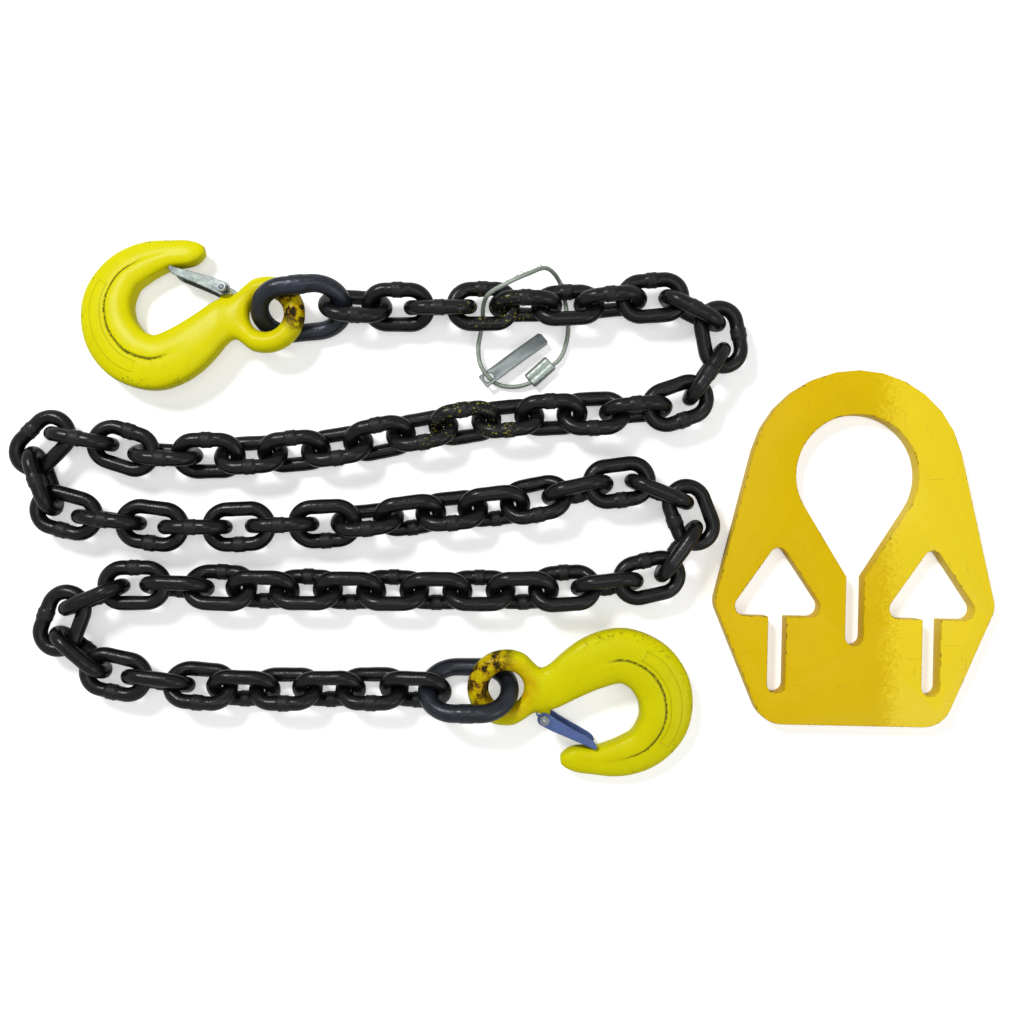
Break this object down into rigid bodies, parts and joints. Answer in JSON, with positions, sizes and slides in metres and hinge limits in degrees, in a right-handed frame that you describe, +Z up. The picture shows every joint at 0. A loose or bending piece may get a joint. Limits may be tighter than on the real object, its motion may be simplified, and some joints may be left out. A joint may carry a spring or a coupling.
{
  "type": "chain sling",
  "caption": "Alloy chain sling laid out in rows, with a coupling link and a latched sling hook at each end, a wire-rope identity tag and a loose slotted chain-shortening plate.",
  "frame": {"origin": "middle of the laid-out sling's bounding box, on the floor it lies on", "axes": "+X to the right along the chain's rows, +Y away from the viewer towards the first row, +Z up from the floor"},
  "size_m": [0.865, 0.4724, 0.0534],
  "materials": {
    "chain": "satin",
    "coupling": "satin",
    "hook_paint": "gloss",
    "latch_steel": "satin",
    "pin_steel": "satin",
    "spring_steel": "satin",
    "rope": "satin",
    "sleeve": "matte",
    "tag": "satin",
    "plate_paint": "gloss"
  },
  "bodies": {
    "chain_01_02": {"links_01_02": "chain"},
    "chain_03_04": {"links_03_04": "chain"},
    "chain_05_06": {"links_05_06": "chain"},
    "chain_07_08": {"links_07_08": "chain"},
    "chain_09_10": {"links_09_10": "chain"},
    "chain_11_12": {"links_11_12": "chain"},
    "chain_13_14": {"links_13_14": "chain"},
    "chain_15_16": {"links_15_16": "chain"},
    "chain_17_18": {"links_17_18": "chain"},
    "chain_19_20": {"links_19_20": "chain"},
    "chain_21_22": {"links_21_22": "chain"},
    "chain_23_24": {"links_23_24": "chain"},
    "chain_25_26": {"links_25_26": "chain"},
    "chain_27_28": {"links_27_28": "chain"},
    "chain_29_30": {"links_29_30": "chain"},
    "chain_31_32": {"links_31_32": "chain"},
    "chain_33_34": {"links_33_34": "chain"},
    "chain_35_36": {"links_35_36": "chain"},
    "chain_37_38": {"links_37_38": "chain"},
    "chain_39_40": {"links_39_40": "chain"},
    "chain_41_42": {"links_41_42": "chain"},
    "chain_43_44": {"links_43_44": "chain"},
    "chain_45_46": {"links_45_46": "chain"},
    "chain_47_48": {"links_47_48": "chain"},
    "chain_49_50": {"links_49_50": "chain"},
    "chain_51_52": {"links_51_52": "chain"},
    "chain_53_54": {"links_53_54": "chain"},
    "chain_55_56": {"links_55_56": "chain"},
    "chain_57_58": {"links_57_58": "chain"},
    "chain_59_60": {"links_59_60": "chain"},
    "chain_61_62": {"links_61_62": "chain"},
    "chain_63_64": {"links_63_64": "chain"},
    "chain_65_66": {"links_65_66": "chain"},
    "chain_67_68": {"links_67_68": "chain"},
    "chain_69": {"link_69": "chain"},
    "coupling_1": {"coupling_link_1": "coupling"},
    "coupling_2": {"coupling_link_2": "coupling"},
    "hook_1_body": {"hook_1": "hook_paint", "latch_pin_1": "pin_steel", "latch_nut_1": "pin_steel", "latch_spring_1": "spring_steel"},
    "latch_1_body": {"latch_1": "latch_steel"},
    "hook_2_body": {"hook_2": "hook_paint", "latch_pin_2": "pin_steel", "latch_nut_2": "pin_steel", "latch_spring_2": "spring_steel"},
    "latch_2_body": {"latch_2": "latch_steel"},
    "tag_loop": {"tag_cable": "rope", "tag_sleeve": "sleeve"},
    "tag_body": {"tag_plate": "tag"},
    "plate_body": {"adjuster_plate": "plate_paint"}
  },
  "joints": [
    {"name": "chain_33_34_swing", "type": "hinge", "parent": "chain_35_36", "child": "chain_33_34", "pos_m": [-0.1823, -0.01419, 0.02303], "axis": [-0.0311, 0.9995, 0], "range_deg": [-25, 25]},
    {"name": "chain_31_32_swing", "type": "hinge", "parent": "chain_33_34", "child": "chain_31_32", "pos_m": [-0.25748, -0.01657, 0.02295], "axis": [-0.0006, 1, 0], "range_deg": [-25, 25]},
    {"name": "chain_29_30_swing", "type": "hinge", "parent": "chain_31_32", "child": "chain_29_30", "pos_m": [-0.33317, -0.01111, 0.02295], "axis": [0.1212, 0.9926, 0], "range_deg": [-25, 25]},
    {"name": "chain_27_28_swing", "type": "hinge", "parent": "chain_29_30", "child": "chain_27_28", "pos_m": [-0.40764, 0.00318, 0.02295], "axis": [-0.942, -0.3356, 0], "range_deg": [-10, 10]},
    {"name": "chain_25_26_swing", "type": "hinge", "parent": "chain_27_28", "child": "chain_25_26", "pos_m": [-0.38481, 0.07556, 0.02295], "axis": [0.1831, 0.9831, 0], "range_deg": [-10, 10]},
    {"name": "chain_23_24_swing", "type": "hinge", "parent": "chain_25_26", "child": "chain_23_24", "pos_m": [-0.3078, 0.04471, 0.02278], "axis": [-0.0672, -0.9636, -0.2587], "range_deg": [-25, 25]},
    {"name": "chain_21_22_swing", "type": "hinge", "parent": "chain_23_24", "child": "chain_21_22", "pos_m": [-0.23288, 0.04652, 0.01942], "axis": [0.0139, -0.7074, -0.7067], "range_deg": [-25, 25]},
    {"name": "chain_19_20_swing", "type": "hinge", "parent": "chain_21_22", "child": "chain_19_20", "pos_m": [-0.17179, 0.05099, 0.01841], "axis": [-0.0685, 0.7038, -0.7071], "range_deg": [-25, 25]},
    {"name": "chain_17_18_swing", "type": "hinge", "parent": "chain_19_20", "child": "chain_17_18", "pos_m": [-0.08322, 0.06679, 0.01841], "axis": [-0.1253, 0.6959, 0.7071], "range_deg": [-25, 25]},
    {"name": "chain_15_16_swing", "type": "hinge", "parent": "chain_17_18", "child": "chain_15_16", "pos_m": [-0.02206, 0.077, 0.01841], "axis": [0.1044, -0.6994, 0.7071], "range_deg": [-25, 25]},
    {"name": "chain_13_14_swing", "type": "hinge", "parent": "chain_15_16", "child": "chain_13_14", "pos_m": [0.06765, 0.08349, 0.02011], "axis": [0.0607, -0.4985, -0.8648], "range_deg": [-7.5, 25]},
    {"name": "chain_11_12_swing", "type": "hinge", "parent": "chain_13_14", "child": "chain_11_12", "pos_m": [0.1279, 0.08394, 0.02279], "axis": [-0.0799, 0.9626, -0.2587], "range_deg": [-25, 25]},
    {"name": "chain_09_10_swing", "type": "hinge", "parent": "chain_11_12", "child": "chain_09_10", "pos_m": [0.19221, 0.13915, 0.02295], "axis": [0, 0, -1], "range_deg": [-2.5, 25]},
    {"name": "chain_07_08_swing", "type": "hinge", "parent": "chain_09_10", "child": "chain_07_08", "pos_m": [0.15666, 0.18594, 0.02298], "axis": [0.454, 0.891, 0], "range_deg": [-25, 25]},
    {"name": "chain_05_06_swing", "type": "hinge", "parent": "chain_07_08", "child": "chain_05_06", "pos_m": [0.06778, 0.17847, 0.02143], "axis": [-0.0278, 0.5439, 0.8387], "range_deg": [-25, 7.5]},
    {"name": "chain_03_04_swing", "type": "hinge", "parent": "chain_05_06", "child": "chain_03_04", "pos_m": [0.00818, 0.17721, 0.02259], "axis": [0.0185, -0.9476, 0.3189], "range_deg": [-10, 10]},
    {"name": "chain_01_02_swing", "type": "hinge", "parent": "chain_03_04", "child": "chain_01_02", "pos_m": [-0.08101, 0.17608, 0.02195], "axis": [-0.0337, -0.416, 0.9088], "range_deg": [-25, 12.5]},
    {"name": "chain_37_38_swing", "type": "hinge", "parent": "chain_35_36", "child": "chain_37_38", "pos_m": [-0.10809, -0.00897, 0.02005], "axis": [-0.0628, 0.8641, 0.4994], "range_deg": [-25, 25]},
    {"name": "chain_39_40_swing", "type": "hinge", "parent": "chain_37_38", "child": "chain_39_40", "pos_m": [-0.03416, -0.00067, 0.01828], "axis": [0.0679, -0.7038, -0.7071], "range_deg": [-25, 5]},
    {"name": "chain_41_42_swing", "type": "hinge", "parent": "chain_39_40", "child": "chain_41_42", "pos_m": [0.0538, 0.01322, 0.02212], "axis": [0.2095, -0.943, 0.2587], "range_deg": [-25, 25]},
    {"name": "chain_43_44_swing", "type": "hinge", "parent": "chain_41_42", "child": "chain_43_44", "pos_m": [0.12698, 0.02638, 0.02298], "axis": [0.3751, 0.927, 0], "range_deg": [-25, 25]},
    {"name": "chain_45_46_swing", "type": "hinge", "parent": "chain_43_44", "child": "chain_45_46", "pos_m": [0.17372, -0.0298, 0.02295], "axis": [0.817, -0.5766, 0], "range_deg": [-10, 10]},
    {"name": "chain_47_48_swing", "type": "hinge", "parent": "chain_45_46", "child": "chain_47_48", "pos_m": [0.10214, -0.06657, 0.02279], "axis": [-0.1064, 0.9601, -0.2587], "range_deg": [-25, 25]},
    {"name": "chain_49_50_swing", "type": "hinge", "parent": "chain_47_48", "child": "chain_49_50", "pos_m": [0.02787, -0.07198, 0.01938], "axis": [0.0057, 0.7075, -0.7067], "range_deg": [-25, 0]},
    {"name": "chain_51_52_swing", "type": "hinge", "parent": "chain_49_50", "child": "chain_51_52", "pos_m": [-0.03338, -0.07242, 0.01841], "axis": [0.0015, -0.7071, -0.7071], "range_deg": [-25, 5]},
    {"name": "chain_53_54_swing", "type": "hinge", "parent": "chain_51_52", "child": "chain_53_54", "pos_m": [-0.10938, -0.07194, 0.01841], "axis": [-0.0034, -0.7071, -0.7071], "range_deg": [-10, 7.5]},
    {"name": "chain_55_56_swing", "type": "hinge", "parent": "chain_53_54", "child": "chain_55_56", "pos_m": [-0.19938, -0.07121, 0.01853], "axis": [0.0068, -0.7075, 0.7067], "range_deg": [-17.5, 25]},
    {"name": "chain_57_58_swing", "type": "hinge", "parent": "chain_55_56", "child": "chain_57_58", "pos_m": [-0.27449, -0.06849, 0.02212], "axis": [0.0265, 0.9656, -0.2587], "range_deg": [-25, 25]},
    {"name": "chain_59_60_swing", "type": "hinge", "parent": "chain_57_58", "child": "chain_59_60", "pos_m": [-0.34891, -0.06763, 0.02298], "axis": [0.3875, -0.9219, 0], "range_deg": [-25, 25]},
    {"name": "chain_61_62_swing", "type": "hinge", "parent": "chain_59_60", "child": "chain_61_62", "pos_m": [-0.39498, -0.12257, 0.02295], "axis": [0.6484, 0.7613, 0], "range_deg": [-10, 10]},
    {"name": "chain_63_64_swing", "type": "hinge", "parent": "chain_61_62", "child": "chain_63_64", "pos_m": [-0.31376, -0.15065, 0.02279], "axis": [-0.1199, -0.9585, 0.2587], "range_deg": [-25, 25]},
    {"name": "chain_65_66_swing", "type": "hinge", "parent": "chain_63_64", "child": "chain_65_66", "pos_m": [-0.23965, -0.1577, 0.01938], "axis": [-0.0028, -0.7075, 0.7067], "range_deg": [-25, 25]},
    {"name": "chain_67_68_swing", "type": "hinge", "parent": "chain_65_66", "child": "chain_67_68", "pos_m": [-0.1652, -0.15842, 0.01841], "axis": [-0.0053, 0.7071, -0.7071], "range_deg": [-25, 25]},
    {"name": "chain_69_swing", "type": "hinge", "parent": "chain_67_68", "child": "chain_69", "pos_m": [-0.0892, -0.15799, 0.01909], "axis": [0.1277, 0.7071, -0.6955], "range_deg": [-25, 12.5]},
    {"name": "coupling_1_swing", "type": "hinge", "parent": "chain_01_02", "child": "coupling_1", "pos_m": [-0.15518, 0.17829, 0.02696], "axis": [0.1107, -0.6994, 0.7061], "range_deg": [-15, 15]},
    {"name": "coupling_2_swing", "type": "hinge", "parent": "chain_69", "child": "coupling_2", "pos_m": [-0.05163, -0.158, 0.0272], "axis": [0.037, -0.7071, -0.7061], "range_deg": [-15, 15]},
    {"name": "hook_1_swing", "type": "hinge", "parent": "coupling_1", "child": "hook_1_body", "pos_m": [-0.21181, 0.17011, 0.02881], "axis": [-0.0694, 0.1045, 0.9921], "range_deg": [-15, 15]},
    {"name": "hook_2_swing", "type": "hinge", "parent": "coupling_2", "child": "hook_2_body", "pos_m": [0.0057, -0.158, 0.02822], "axis": [0.049, -0.1474, 0.9879], "range_deg": [-15, 10]},
    {"name": "latch_1_hinge", "type": "hinge", "parent": "hook_1_body", "child": "latch_1_body", "pos_m": [-0.24221, 0.18988, 0.02225], "axis": [-0.0694, 0.1045, 0.9921], "range_deg": [0, 30], "stiffness_Nm_per_rad": 0.02, "springref_deg": -68.75},
    {"name": "latch_2_hinge", "type": "hinge", "parent": "hook_2_body", "child": "latch_2_body", "pos_m": [0.03502, -0.18156, 0.02152], "axis": [0.049, -0.1474, 0.9879], "range_deg": [0, 30], "stiffness_Nm_per_rad": 0.02, "springref_deg": -68.75},
    {"name": "tag_loop_swing", "type": "hinge", "parent": "chain_05_06", "child": "tag_loop", "pos_m": [-0.01745, 0.177, 0.02495], "axis": [0, 0, 1], "range_deg": [-5, 10]},
    {"name": "tag_swing", "type": "hinge", "parent": "tag_loop", "child": "tag_body", "pos_m": [-0.01295, 0.1165, 0.00755], "axis": [-0.6783, 0.6783, 0.2826], "range_deg": [0, 25]},
    {"name": "plate_lift", "type": "slide", "parent": "chain_35_36", "child": "plate_body", "axis": [0, 0, 1], "range_m": [0, 0.3]}
  ]
}
